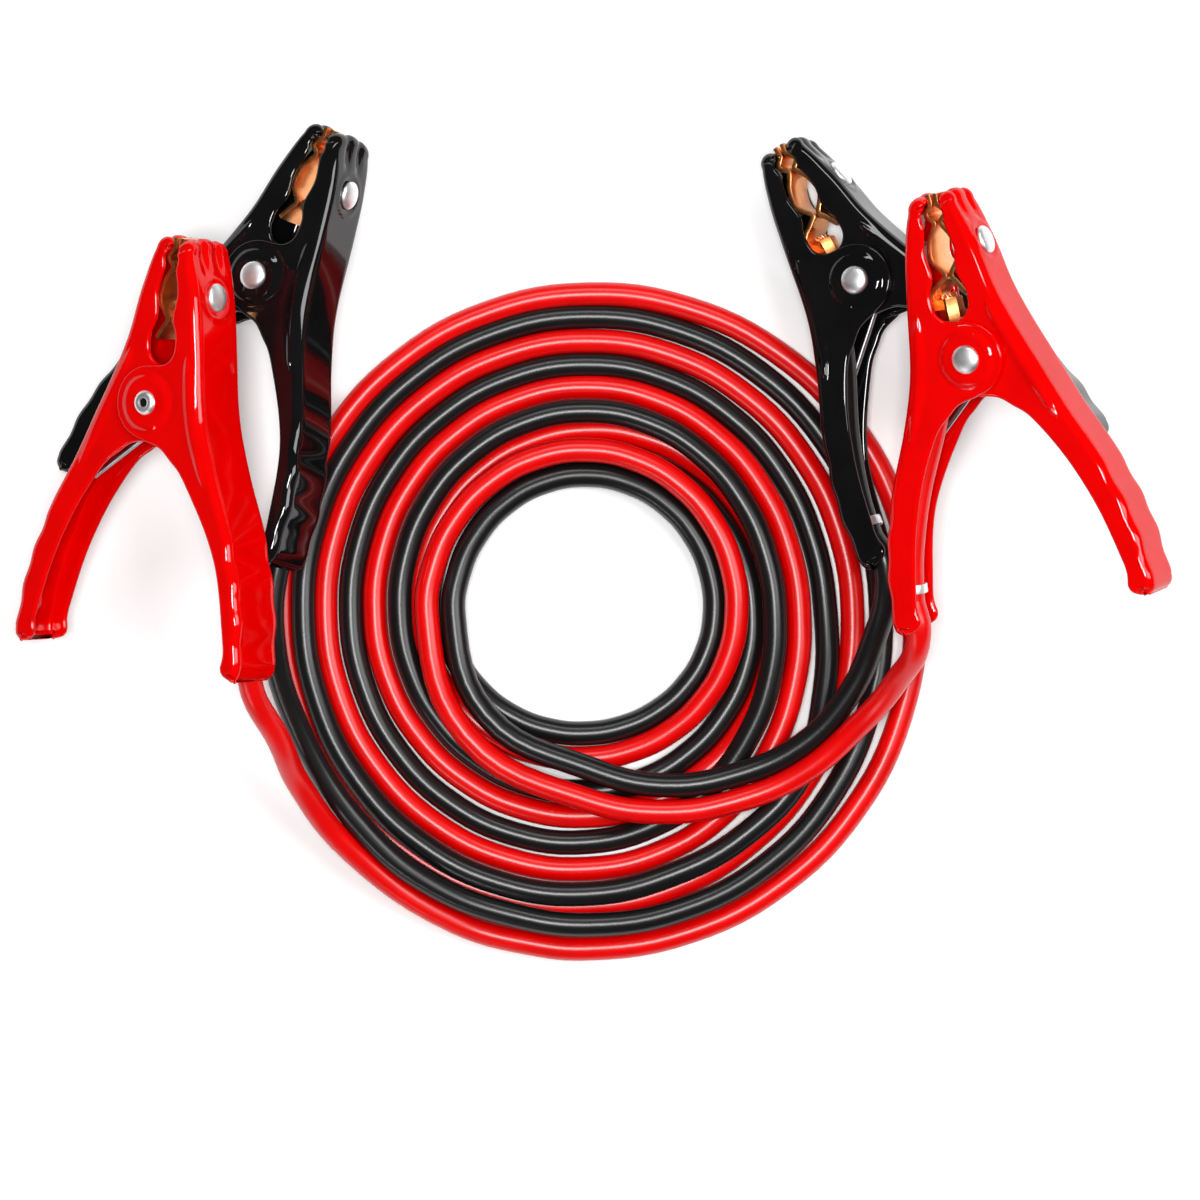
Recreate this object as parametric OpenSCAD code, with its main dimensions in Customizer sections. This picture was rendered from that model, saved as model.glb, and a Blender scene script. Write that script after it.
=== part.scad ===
// Two-conductor booster cable, coiled, with a sprung clamp on each of its four ends.

/* [Clamp arm outline] */
// Distance from the pivot to the jaw tip
jaw_len = 65; // [60:1:75]
// Distance from the pivot to the handle end
handle_len = 101; // [92:1:115]
// Half width of the jaw pair at the jaw tip
tip_half = 9.4; // [8.5:0.1:11]
// Half width of the jaw pair at the jaw rivets
jaw_half = 14.6; // [13:0.1:18]
// Half width of the clamp at the pivot
pivot_half = 24.9; // [24:0.1:29]
// Half spread of the two handles at their ends
handle_half = 55; // [50:0.5:62]
// Depth of the finger grooves on the handles
grip_depth = 0.7; // [0:0.1:1.2]
// Sideways shift of the jaw line from the pivot, towards the cable arm
jaw_shift = 3; // [2:0.1:4]
// Radius of the round pivot lobes
lobe_r = 14.5; // [13.5:0.1:15]
// Radius of the round bottom of the jaw throat
throat_r = 7; // [6:0.1:8]

/* [Clamp arm walls] */
// Thickness of the pressed steel
steel_t = 1.2; // [1:0.1:1.6]
// Thickness of the dipped vinyl coat on each side of the steel
coat_t = 0.6; // [0.4:0.1:0.8]
// Half width of the lever arm across its flanges
lever_hw = 11.6; // [11:0.1:13]
// Clearance between the nested flanges of the two arms
flange_gap = 0.3; // [0.2:0.05:0.5]
// Height of the raised collar around the pivot rivet
boss_h = 0.8; // [0.4:0.1:1.2]

/* [Rivets] */
// Radius of the pivot rivet's shank
pivot_r = 4; // [3.5:0.1:4.5]
// Radius of the pivot rivet's heads
pivot_head_r = 5.6; // [5.2:0.1:6.5]
// Height of the pivot rivet's domed head
pivot_head_h = 2.4; // [1.5:0.1:3]
// Running clearance of the lever on the pivot
pivot_fit = 0.08; // [0.05:0.01:0.1]
// Distance of the jaw rivets from the jaw tip
rivet_inset = 22; // [20:0.5:24]
// Radius of the jaw rivets' shank
rivet_r = 3; // [2.5:0.1:3.4]
// Radius of the jaw rivets' domed head
rivet_head_r = 5.6; // [5:0.1:6]
// Height of the jaw rivets' domed head
rivet_head_h = 2; // [1.5:0.1:2.5]

/* [Copper jaws] */
// Thickness of the copper plates
copper_t = 1.8; // [1.5:0.1:2]
// Half width of the copper plates
copper_hw = 8.7; // [8:0.1:8.8]
// Gap between the closed jaw ridges
ridge_gap = 0.6; // [0.5:0.1:1]
// Depth of the waves in the copper plates
wave_depth = 4; // [3:0.1:4.4]
// Length of the crimp barrel
barrel_len = 11; // [9:0.5:12]

/* [Spring] */
// Wire radius of the torsion spring
wire_r = 1.2; // [1:0.1:1.3]
// Mean radius of the torsion spring's coils
spring_r = 8; // [7.8:0.1:8.2]
// Number of coils in the torsion spring
spring_turns = 5; // [4:1:5]

/* [Cable] */
// Outer diameter of each insulated conductor
cable_d = 9.8; // [9:0.1:10.2]
// Radius of the bare copper strand bundle
strand_r = 3.4; // [3:0.1:3.5]
// Inner radius of the coiled cable
coil_in = 47; // [44:0.5:52]
// Outer radius of the coiled cable
coil_out = 137.5; // [130:0.5:145]

/* [Clamp placement] */
// Pivot of the left red clamp
left_red_at = [-161.2, -1.9, 68]; // [-250:0.1:250]
// Spin, pitch and roll of the left red clamp
left_red_turn = [-6.6, 6, 31]; // [-180:0.1:180]
// Pivot of the left black clamp
left_black_at = [-122.8, 46.5, 39.5]; // [-250:0.1:250]
// Spin, pitch and roll of the left black clamp
left_black_turn = [-22.5, 3, 26]; // [-180:0.1:180]
// Pivot of the right red clamp
right_red_at = [152.7, 15.8, 88]; // [-250:0.1:250]
// Spin, pitch and roll of the right red clamp
right_red_turn = [12.2, 4, 29]; // [-180:0.1:180]
// Pivot of the right black clamp
right_black_at = [112.1, 47.1, 30]; // [-250:0.1:250]
// Spin, pitch and roll of the right black clamp
right_black_turn = [28, -11.5, 21]; // [-180:0.1:180]

/* [Hidden] */
PIECES = ["cable_arm_steel", "cable_arm_coat", "lever_steel", "lever_coat", "cable_jaw", "lever_jaw",
          "cable_jaw_rivet", "lever_jaw_rivet", "pivot_rivet", "spacer_bush", "torsion_spring",
          "cable_clip", "conductor"];
$fn = 48;

wall = steel_t + 2 * coat_t;
rivet_y = jaw_len - rivet_inset;
cable_hw = lever_hw + flange_gap + wall;
cable_r = cable_d / 2;
red = "#d8121a";
black = "#1c1c1e";
copper = "#b8693a";
nickel = "#c9cbd0";
steel = "#8d9097";

// Small tools for outlines: a smooth curve through a few points, and shifted copies of it.
function lerp(a, b, t) = a + (b - a) * t;
function unit(v) = v / norm(v);
function left_of(v) = [-v.y, v.x];
function spline(p, i, t) =
    let (a = p[max(i - 1, 0)], b = p[i], c = p[i + 1], d = p[min(i + 2, len(p) - 1)])
    0.5 * (2 * b + (c - a) * t + (2 * a - 5 * b + 4 * c - d) * t * t
           + (3 * b - a - 3 * c + d) * t * t * t);
function curve(p, steps) =
    concat([for (i = [0:len(p) - 2]) for (k = [0:steps - 1]) spline(p, i, k / steps)],
           [p[len(p) - 1]]);
function corner(a, b, c, d) =
    let (u = left_of(unit(b - a)), v = left_of(unit(c - b)))
    b + (u + v) * d / (1 + u * v);
function shifted_loop(p, d) =
    let (n = len(p)) [for (i = [0:n - 1]) corner(p[(i + n - 1) % n], p[i], p[(i + 1) % n], d)];
function shifted_line(p, d) =
    let (n = len(p))
    [for (i = [0:n - 1])
        i == 0 ? p[0] + left_of(unit(p[1] - p[0])) * d
        : i == n - 1 ? p[i] + left_of(unit(p[i] - p[i - 1])) * d
        : corner(p[i - 1], p[i], p[i + 1], d)];
function arc(c, r, from, to, n) =
    [for (i = [0:n]) let (a = lerp(from, to, i / n)) c + r * [cos(a), sin(a)]];

// The side outline of one arm, drawn with its web towards +X. shift moves its jaw sideways.
tip_r = 3.6;
jaw_edge = 2.4;
throat_y = lobe_r + 0.7 + throat_r;
function jaw_line(y) = min(1, max(0, y / lobe_r));
function moved(p, shift) = [for (q = p) [q.x + shift * jaw_line(q.y), q.y]];
function groove(y) =
    let (t = (-y - handle_len * 0.47) / (handle_len * 0.46))
    t < 0 || t > 1 ? 0 : grip_depth * (cos(t * 1080) - 1) / 2;
function web_line(shift) =
    moved([for (q = concat(
        arc([tip_half - tip_r, jaw_len - tip_r], tip_r, 160, 20, 6),
        curve([[tip_half, jaw_len - tip_r - 1],
               [jaw_half, rivet_y],
               [lerp(jaw_half, pivot_half, 0.4), rivet_y * 0.53],
               [pivot_half, 0],
               [lerp(pivot_half, handle_half, 0.29), -0.23 * handle_len],
               [lerp(pivot_half, handle_half, 0.65), -0.465 * handle_len],
               [lerp(pivot_half, handle_half, 0.91), -0.71 * handle_len],
               [handle_half, -0.92 * handle_len]], 5)))
        [q.x + groove(q.y), q.y]], shift);
handle_end = [[handle_half - 0.4, 2.5 - handle_len], [handle_half - 2, 0.7 - handle_len],
              [handle_half - 4.5, -handle_len], [handle_half - 7, 1.2 - handle_len]];
function inner_line() =
    curve([[handle_half - 8, 5 - handle_len],
           [handle_half - 7.8, -0.87 * handle_len],
           [lerp(pivot_half, handle_half, 0.54), -0.665 * handle_len],
           [lerp(pivot_half, handle_half, 0.22), -0.46 * handle_len],
           [pivot_half - 4.8, -0.272 * handle_len],
           [pivot_half - 11, -lobe_r - 6.3],
           [pivot_half - 17, -lobe_r - 2.3],
           [0, -lobe_r - 0.6]], 3);
function jaw_edge_line() =
    curve([[throat_r, throat_y], [throat_r - 0.2, throat_y + 5], [4.6, rivet_y - 9.5],
           [5.6, rivet_y], [3.8, rivet_y + 9], [4.2, jaw_len - 8],
           [jaw_edge, jaw_len - tip_r + 0.6]], 3);
function arm_outline(shift) =
    concat(web_line(shift), handle_end, inner_line(),
           arc([0, 0], lobe_r, -95, -270 - asin(shift / lobe_r), 14),
           [for (q = concat(arc([0, throat_y], throat_r, -90, -15, 5), jaw_edge_line()))
               [q.x + shift, q.y]]);

// The space between the flanges: everything further than depth behind the web's outer face.
function channel(shift, depth, top) =
    let (w = web_line(shift), n = len(w), down = unit(w[n - 1] - w[n - 2]),
         run = concat([for (q = w) if (q.y < top || q.x > tip_half - 1 + shift) q],
                      [w[n - 1] + down * 30]))
    concat([[-60, top]],
           [for (q = shifted_line(run, -depth)) if (q.y < top) q],
           [[-60, -handle_len - 20]]);
module slab(points, half) {
    translate([0, 0, -half]) linear_extrude(height = 2 * half) polygon(points);
}

// Where the jaw rivet crosses the web, and how far it leans to stay square to it.
rivet_lean = 9;
function rivet_foot(shift) = [jaw_half + shift, rivet_y, 0];
module at_jaw_rivet(shift) {
    translate(rivet_foot(shift)) rotate([0, 0, rivet_lean]) rotate([0, 90, 0]) children();
}
module arm_holes(shift, hole_r) {
    cylinder(r = hole_r, h = 100, center = true);
    at_jaw_rivet(shift) cylinder(r = rivet_r + 0.05, h = 20, center = true);
}
module arm_steel(shift, half, hole_r) {
    difference() {
        slab(shifted_loop(arm_outline(shift), -coat_t), half - coat_t);
        slab(channel(shift, coat_t + steel_t, jaw_len - tip_r + coat_t), half - coat_t - steel_t);
        arm_holes(shift, hole_r);
    }
}
module arm_coat(shift, half, hole_r) {
    difference() {
        slab(arm_outline(shift), half);
        slab(channel(shift, wall, jaw_len - tip_r), half - wall);
        arm_holes(shift, hole_r);
        difference() {
            slab(shifted_loop(arm_outline(shift), -coat_t), half - coat_t);
            slab(channel(shift, coat_t + steel_t, jaw_len - tip_r + coat_t),
                 half - coat_t - steel_t);
            cylinder(r = hole_r - 0.02, h = 100, center = true);
        }
    }
}
module boss() {
    difference() {
        cylinder(r1 = lobe_r - 3, r2 = lobe_r - 5.5, h = boss_h);
        translate([0, 0, -1]) cylinder(r = pivot_r + 0.05, h = boss_h + 2);
    }
}

// A rivet head as a turned cap, and the pieces that are made from it.
module dome(r, h) {
    R = (r * r + h * h) / (2 * h);
    a = asin(r / R);
    rotate_extrude()
        polygon(concat([[0, 0]], [for (i = [0:10]) let (b = a * (1 - i / 10))
                                  [R * sin(b), R * cos(b) - R + h]]));
}
module rolled_end(r, h) {
    difference() {
        dome(r, h);
        translate([0, 0, -1]) cylinder(r = 1.3, h = h + 2);
    }
}
module pivot_rivet() {
    seat = cable_hw + boss_h;
    difference() {
        union() {
            cylinder(r = pivot_r, h = 2 * seat, center = true);
            translate([0, 0, seat]) dome(pivot_head_r, pivot_head_h);
            translate([0, 0, -seat]) mirror([0, 0, 1]) rolled_end(pivot_head_r - 0.6, 1.8);
        }
        translate([0, 0, -seat - 3]) cylinder(r = 1.3, h = 12);
    }
}
module spacer_bush() {
    half = lever_hw - wall - 0.1;
    difference() {
        cylinder(r = pivot_r + 1.9, h = 2 * half, center = true);
        cylinder(r = pivot_r + 0.1, h = 2 * half + 2, center = true);
    }
}

// The copper plates: tip lip, wave, ridge, wave held by the rivet, ridge, and the way out.
plate_face = ridge_gap / 2;
wave_drop = wave_depth * tan(rivet_lean) * 0.9;
function plate_line(tail) =
    curve(concat([[plate_face + 0.3, jaw_len - 0.6],
                  [plate_face + 0.1, jaw_len - tip_r - 1.4],
                  [plate_face + wave_depth * 0.66, jaw_len - 8.4],
                  [plate_face, rivet_y + 10],
                  [plate_face + wave_depth * 0.93 - wave_drop / 2, rivet_y + 3.5],
                  [plate_face + wave_depth + wave_drop / 2, rivet_y - 3.5],
                  [plate_face, rivet_y - 10]], tail), 4);
function plate(tail) =
    let (near = plate_line(tail), far = shifted_line(near, copper_t))
    concat(near, [for (i = [len(far) - 1:-1:0]) far[i]]);
module jaw_plate(shift, tail) {
    difference() {
        translate([shift, 0, 0]) slab(plate(tail), copper_hw);
        at_jaw_rivet(shift) cylinder(r = rivet_r + 0.15, h = 60, center = true);
    }
}
module jaw_rivet(shift) {
    stand = jaw_half - plate_face - wave_depth - copper_t;
    at_jaw_rivet(shift) {
        dome(rivet_head_r, rivet_head_h);
        translate([0, 0, -stand - copper_t - 1]) cylinder(r = rivet_r, h = stand + copper_t + 1.5);
        translate([0, 0, 0.4 - stand]) cylinder(r = rivet_r + 1.5, h = stand - wall - 0.7);
        translate([0, 0, -stand - copper_t - 1.2]) cylinder(r = rivet_r + 1, h = 0.8);
    }
}
barrel_off = 5.3;
barrel_y = lobe_r - 1.5;
barrel_top = barrel_y + barrel_len;
module crimp_barrel(shift) {
    translate([barrel_off + shift, barrel_y, 0]) rotate([-90, 0, 0]) difference() {
        cylinder(r = strand_r + 1.7, h = barrel_len);
        translate([0, 0, -1]) cylinder(r = strand_r + 0.1, h = barrel_len + 2);
        translate([-10, -0.4, -1]) cube([8, 0.8, barrel_len + 2]);
    }
}
module cable_jaw() {
    jaw_plate(jaw_shift, [[plate_face + 3.2, lerp(barrel_top, rivet_y - 10, 5.5 / 9)],
                          [barrel_off + strand_r - 1, lerp(barrel_top, rivet_y - 10, 2.5 / 9)],
                          [barrel_off + strand_r + 0.2, barrel_top - 1],
                          [barrel_off + strand_r + 0.2, barrel_top - 4]]);
    crimp_barrel(jaw_shift);
}
module lever_jaw() {
    jaw_plate(-jaw_shift, [[plate_face + 2.2, rivet_y - 14.5],
                           [plate_face + 4.6, rivet_y - 18.5]]);
}

// The torsion spring: its coils as one ring beside the conductor, and a leg to each arm's web.
module leg(from, to) {
    v = to - from;
    translate(from) rotate([0, acos(v.z / norm(v)), atan2(v.y, v.x)])
        cylinder(r = wire_r, h = norm(v));
}
leg_y = -0.33 * handle_len;
leg_x = lerp(pivot_half, handle_half, 0.43) - wall - wire_r - 1;
module torsion_spring() {
    half = spring_turns * wire_r;
    leg_z = half - wire_r - 0.15;
    translate([0, 0, -2]) {
        rotate_extrude() translate([spring_r - wire_r, -half]) square([2 * wire_r, 2 * half]);
        leg([-3, -spring_r + 0.4, leg_z], [leg_x, leg_y, leg_z]);
        leg([3, -spring_r + 0.4, -leg_z], [-leg_x, leg_y, -leg_z]);
    }
}

// The conductor inside the handle: strands in the barrel, then insulated along the web.
function ring(c, dir, r, n) =
    let (side = unit(cross(abs(dir.z) > 0.9 ? [1, 0, 0] : [0, 0, 1], dir)), up = cross(dir, side))
    [for (i = [0:n - 1]) let (a = 360 * i / n) c + r * (cos(a) * side + sin(a) * up)];
function heading(p, i) = unit(p[min(i + 1, len(p) - 1)] - p[max(i - 1, 0)]);
module tube(p, r, n) {
    m = len(p);
    polyhedron(
        points = [for (i = [0:m - 1]) each ring(p[i], heading(p, i), is_list(r) ? r[i] : r, n)],
        faces = concat(
            [[for (k = [n - 1:-1:0]) k]],
            [for (i = [0:m - 2]) for (k = [0:n - 1])
                let (a = i * n + k, b = i * n + (k + 1) % n) each [[a, b, b + n], [a, b + n, a + n]]],
            [[for (k = [0:n - 1]) (m - 1) * n + k]]));
}
function deep(p) = [for (q = p) [q.x, q.y, 0]];
web_off = wall + cable_r + 0.3;
insulated_path = deep(curve([[pivot_half - web_off - 0.7, 5],
                             [pivot_half - web_off + 0.5, -4],
                             [lerp(pivot_half, handle_half, 0.29) - web_off - 0.9, -0.23 * handle_len],
                             [lerp(pivot_half, handle_half, 0.65) - web_off - 1.1, -0.465 * handle_len],
                             [lerp(pivot_half, handle_half, 0.91) - web_off - 0.9, -0.71 * handle_len],
                             [handle_half - web_off - 0.7, -0.92 * handle_len],
                             [handle_half - web_off - 0.7, -handle_len]], 3));
strand_path = deep(curve([[barrel_off + jaw_shift, barrel_top + 1.5],
                          [barrel_off + jaw_shift, barrel_y + 1],
                          [pivot_half - web_off - 3.6, lobe_r - 5],
                          [pivot_half - web_off - 0.8, 5.3]], 3));
conductor_r = [for (q = strand_path) strand_r, for (q = insulated_path) cable_r];
module conductor() { tube(concat(strand_path, insulated_path), conductor_r, 12); }
clip_y = -0.83 * handle_len;
clip_x = lerp(pivot_half, handle_half, 0.97) - web_off - 0.8;
clip_w = 5;
module cable_clip() {
    inside = cable_r + 0.15;
    outside = inside + 1.1;
    reach = wall + cable_r - coat_t;
    translate([clip_x, clip_y, 0]) rotate([0, 0, 6]) rotate([-90, 0, 0]) difference() {
        union() {
            cylinder(r = outside, h = clip_w, center = true);
            translate([0, -outside, -clip_w / 2]) cube([cable_r, 2 * outside, clip_w]);
        }
        cylinder(r = inside, h = clip_w + 2, center = true);
        translate([0, -inside, -clip_w]) cube([reach, 2 * inside, 2 * clip_w]);
        translate([cable_r - 0.1, -20, -clip_w]) cube([20, 40, 2 * clip_w]);
    }
}

// One clamp in its own frame: pivot at the origin along Z, jaws towards +Y, lever towards +X.
module clamp_piece(piece, body) {
    if (piece == "cable_arm_steel")
        color(steel) mirror([1, 0, 0]) arm_steel(jaw_shift, cable_hw, pivot_r + 0.05);
    if (piece == "cable_arm_coat") color(body) {
        mirror([1, 0, 0]) arm_coat(jaw_shift, cable_hw, pivot_r + 0.05);
        translate([0, 0, cable_hw]) boss();
        translate([0, 0, -cable_hw]) mirror([0, 0, 1]) boss();
    }
    if (piece == "lever_steel") color(steel) arm_steel(-jaw_shift, lever_hw, pivot_r + pivot_fit);
    if (piece == "lever_coat") color(body) arm_coat(-jaw_shift, lever_hw, pivot_r + pivot_fit);
    if (piece == "cable_jaw") color(copper) mirror([1, 0, 0]) cable_jaw();
    if (piece == "lever_jaw") color(copper) lever_jaw();
    if (piece == "cable_jaw_rivet") color(nickel) mirror([1, 0, 0]) jaw_rivet(jaw_shift);
    if (piece == "lever_jaw_rivet") color(nickel) jaw_rivet(-jaw_shift);
    if (piece == "pivot_rivet") color(nickel) pivot_rivet();
    if (piece == "spacer_bush") color(steel) spacer_bush();
    if (piece == "torsion_spring") color(steel) torsion_spring();
    if (piece == "cable_clip") color(nickel) mirror([1, 0, 0]) cable_clip();
    if (piece == "conductor") color(body) mirror([1, 0, 0]) conductor();
}
// side is 1 for a clamp that lies lever up, and -1 for one turned over onto its lever.
module placed(at, turn, side) {
    translate(at) rotate([0, 0, turn[0]]) rotate([turn[1], 0, 0]) rotate([0, -turn[2], 0])
        rotate([0, side > 0 ? 0 : 180, 0]) children();
}
module left_red(piece) { placed(left_red_at, left_red_turn, -1) clamp_piece(piece, red); }
module left_black(piece) {
    flip = piece == "pivot_rivet" ? 1 : 0;
    placed(left_black_at, left_black_turn, -1) mirror([0, 0, flip]) clamp_piece(piece, black);
}
module right_red(piece) { placed(right_red_at, right_red_turn, 1) clamp_piece(piece, red); }
module right_black(piece) { placed(right_black_at, right_black_turn, 1) clamp_piece(piece, black); }

// The twin cable: a flat coil on the floor, and four tails from the coil to the handle ends.
coil_at = [1, -84, 0];
cable_end = insulated_path[len(insulated_path) - 1];
cable_way = unit(cable_end - insulated_path[len(insulated_path) - 2]);
function about_x(v, a) = [v.x, v.y * cos(a) - v.z * sin(a), v.y * sin(a) + v.z * cos(a)];
function about_y(v, a) = [v.x * cos(a) + v.z * sin(a), v.y, v.z * cos(a) - v.x * sin(a)];
function about_z(v, a) = [v.x * cos(a) - v.y * sin(a), v.x * sin(a) + v.y * cos(a), v.z];
function turned(v, turn, side) =
    about_z(about_x(about_y(v, (side > 0 ? 0 : 180) - turn[2]), turn[1]), turn[0]);
function tail_path(at, turn, side, points) =
    let (out = at + turned([-cable_end.x, cable_end.y, 0], turn, side),
         dir = turned([-cable_way.x, cable_way.y, 0], turn, side))
    concat([out + 0.02 * dir], curve(concat([out + 4 * dir, out + 12 * dir], points), 2));
left_red_route = [[-131, -132, 66], [-124, -148, 46], [-114, -163, 24], [-99, -177, 9],
                  [-80, -188, 6]];
left_black_route = [[-128, -92, 42], [-122, -112, 28], [-112, -132, 15], [-96, -160, 6]];
right_red_route = [[128, -113, 43], [112, -132, 28], [88, -149, 16], [60, -158.5, 14.8],
                   [32, -162.4, 14.8], [1, -157, 14.8], [-47, -132, 14.8], [-62, -84, 14.8],
                   [-56, -57, 7]];
right_black_route = [[119, -98, 21], [106, -118, 16.5], [86, -136, 14.8], [61, -147.6, 14.8],
                     [32, -152, 14.8], [1, -144, 14.8], [-39, -124, 14.8], [-51, -84, 14.8],
                     [-46, -62, 7]];
module cable_coil() {
    color(black) translate(coil_at) rotate_extrude($fn = 96)
        translate([coil_in, 0]) square([coil_out - coil_in, cable_d]);
}
module left_red_tail() {
    color(red) tube(tail_path(left_red_at, left_red_turn, -1, left_red_route), cable_r, 12);
}
module left_black_tail() {
    color(black) tube(tail_path(left_black_at, left_black_turn, -1, left_black_route), cable_r, 12);
}
module right_red_tail() {
    color(red) tube(tail_path(right_red_at, right_red_turn, 1, right_red_route), cable_r, 12);
}
module right_black_tail() {
    color(black) tube(tail_path(right_black_at, right_black_turn, 1, right_black_route), cable_r, 12);
}

cable_coil();
left_red_tail();
left_black_tail();
right_red_tail();
right_black_tail();
for (piece = PIECES) {
    left_red(piece);
    left_black(piece);
    right_red(piece);
    right_black(piece);
}
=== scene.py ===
import bpy, math
import numpy as np
from mathutils import Matrix, Vector


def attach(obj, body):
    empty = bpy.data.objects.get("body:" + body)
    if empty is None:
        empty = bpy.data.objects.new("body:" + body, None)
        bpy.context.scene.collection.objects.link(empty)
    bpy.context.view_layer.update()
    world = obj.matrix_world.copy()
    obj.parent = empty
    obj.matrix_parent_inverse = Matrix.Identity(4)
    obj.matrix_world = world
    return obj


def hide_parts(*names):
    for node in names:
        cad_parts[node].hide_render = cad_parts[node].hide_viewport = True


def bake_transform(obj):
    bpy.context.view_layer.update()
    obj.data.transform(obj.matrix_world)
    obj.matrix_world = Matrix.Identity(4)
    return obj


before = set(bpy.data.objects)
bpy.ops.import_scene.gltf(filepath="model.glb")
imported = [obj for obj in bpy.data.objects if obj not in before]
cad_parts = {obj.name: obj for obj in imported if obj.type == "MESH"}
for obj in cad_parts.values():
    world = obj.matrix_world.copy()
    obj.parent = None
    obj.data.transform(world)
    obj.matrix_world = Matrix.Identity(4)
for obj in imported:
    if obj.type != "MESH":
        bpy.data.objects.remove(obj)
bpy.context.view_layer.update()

# --- Camera ---------------------------------------------------------------------------------
# The set lies on a white table and is looked at from straight above, from a little over two
# metres, with the jaws pointing away. Half a metre of the table fills the view.
eye_height = 2.2
view_width = 0.48
view_middle = (0.0062, -0.0784)
camera = bpy.data.objects.new("camera", bpy.data.cameras.new("camera"))
camera.data.angle = 2 * math.atan(view_width / 2 / eye_height)
camera.data.clip_end = 20
camera.location = (*view_middle, eye_height)
bpy.context.scene.collection.objects.link(camera)
bpy.context.scene.camera = camera
bpy.context.scene.view_settings.view_transform = "Standard"

# --- Twin cable -----------------------------------------------------------------------------
# Two stranded copper conductors in soft vinyl jackets, one red and one black, used as a pair.
# They are wound flat on the floor, nearly five turns inwards, and then cross over the turns to
# the right-hand clamps. Each cable starts in one clamp's handle and ends in another's.
cable_d = 0.0098
coil_centre = Vector((0.001, -0.084, 0))
points_a_quarter = 5
# Radius and height of each jacket's middle, in millimetres, at every quarter turn: bottom,
# right, top, left. Where two turns are closer than a jacket, the upper one rides on the lower.
red_turns = [(133.5, 4.9), (131, 4.9), (127.6, 4.9), (121.5, 4.9),
             (116.5, 4.9), (106, 4.9), (109, 4.9), (104.4, 4.9),
             (101.4, 4.9), (84.6, 9.3), (90.5, 4.9), (84.6, 4.9),
             (80.6, 4.9), (75.6, 4.9), (73.5, 4.9), (67, 4.9),
             (57.6, 4.9), (59.5, 12.2), (65.2, 14.6), (63.6, 14.6)]
black_turns = [(123.2, 13), (117.2, 4.9), (118.8, 4.9), (113, 8),
               (111.2, 13.4), (95, 4.9), (99.6, 4.9), (94.2, 4.9),
               (91, 4.9), (74.8, 14.6), (80.8, 12), (74.4, 10),
               (70.8, 4.9), (66, 4.9), (63.6, 4.9), (57, 4.9),
               (47.6, 4.9), (51, 4.9), (55.4, 9.4), (53, 13.6)]
# Where a jacket bulges between two quarters: the place and the width, in quarters, and how
# much it moves outwards and up, in millimetres.
red_bulges = [(8.35, 0.3, 1.2, 0)]
black_bulges = [(0.45, 0.35, 2.0, 0), (4.58, 0.24, 5.5, 5.0)]
# Where each clamp's pivot is, in millimetres, its spin, pitch and roll, and whether it lies
# turned over onto its lever.
placements = {
    "left_red": ((-161.2, -1.9, 68), (-6.6, 6, 31), True),
    "left_black": ((-122.8, 46.5, 39.5), (-22.5, 3, 26), True),
    "right_red": ((152.7, 15.8, 88), (12.2, 4, 29), False),
    "right_black": ((112.1, 47.1, 30), (28, -11.5, 21), False),
}
# Where a cable leaves its handle, in the clamp's own frame, and how far it reaches inside.
handle_exit = Vector((-0.0473, -0.1012, 0.0069))
inside = 0.013
# Where each cable runs between a clamp's handle end and the coil, in millimetres.
routes = {
    "left_red": [(-118.8, -133, 58), (-111.9, -151, 38), (-92.8, -177.5, 18), (-52, -206.5, 6),
                 (-22, -215.3, 4.9)],
    "left_black": [(-122, -92, 46), (-112.5, -129, 32), (-86, -171, 20), (-59.5, -192, 15),
                   (-28, -203.8, 13)],
    "right_red": [(-47, -132, 16.5), (1, -157.8, 15.5), (32.5, -162.6, 15.5), (60, -158.3, 16),
                  (86.5, -147, 19), (107.2, -129, 26), (122, -111, 41)],
    "right_black": [(-39, -124, 14.8), (1, -145, 14.8), (31, -152, 15), (61, -147.6, 16),
                    (86, -136, 19), (102.5, -119, 23), (113, -98, 28)],
}


def smooth(values, at):
    """A Catmull-Rom value at a fractional place along a list."""
    i = min(int(at), len(values) - 2)
    t = at - i
    a, b, c, d = (values[min(max(i + k, 0), len(values) - 1)] for k in (-1, 0, 1, 2))
    return 0.5 * (2 * b + (c - a) * t + (2 * a - 5 * b + 4 * c - d) * t ** 2
                  + (3 * b - a - 3 * c + d) * t ** 3)


def coil_points(turns, bulges):
    """Points along a spiral, anticlockwise and inwards, from its bottom to its last quarter."""
    radii = [r for r, z in turns]
    heights = [z for r, z in turns]
    found = []
    for k in range((len(turns) - 1) * points_a_quarter + 1):
        at = k / points_a_quarter
        angle = math.radians(-90 + 90 * at)
        r, z = smooth(radii, at), smooth(heights, at)
        for middle, width, outwards, up in bulges:
            near = math.exp(-((at - middle) / width) ** 2)
            r, z = r + near * outwards, z + near * up
        found.append(coil_centre + Vector((r * math.cos(angle), r * math.sin(angle), z)) / 1000)
    return found


def placed(clamp):
    """The clamp's own frame, with its pivot at the origin, in the row frame."""
    at, (spin, pitch, roll), on_lever = placements[clamp]
    turn = (Matrix.Rotation(math.radians(spin), 4, "Z")
            @ Matrix.Rotation(math.radians(pitch), 4, "X")
            @ Matrix.Rotation(math.radians(-roll), 4, "Y"))
    if on_lever:
        turn = turn @ Matrix.Rotation(math.pi, 4, "Y")
    return Matrix.Translation(Vector(at) / 1000) @ turn


def way_out(clamp, reach):
    """Points on the straight line on which a cable leaves its handle, outwards from its end."""
    return [placed(clamp) @ (handle_exit + Vector((0, -d, 0))) for d in reach]


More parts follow.
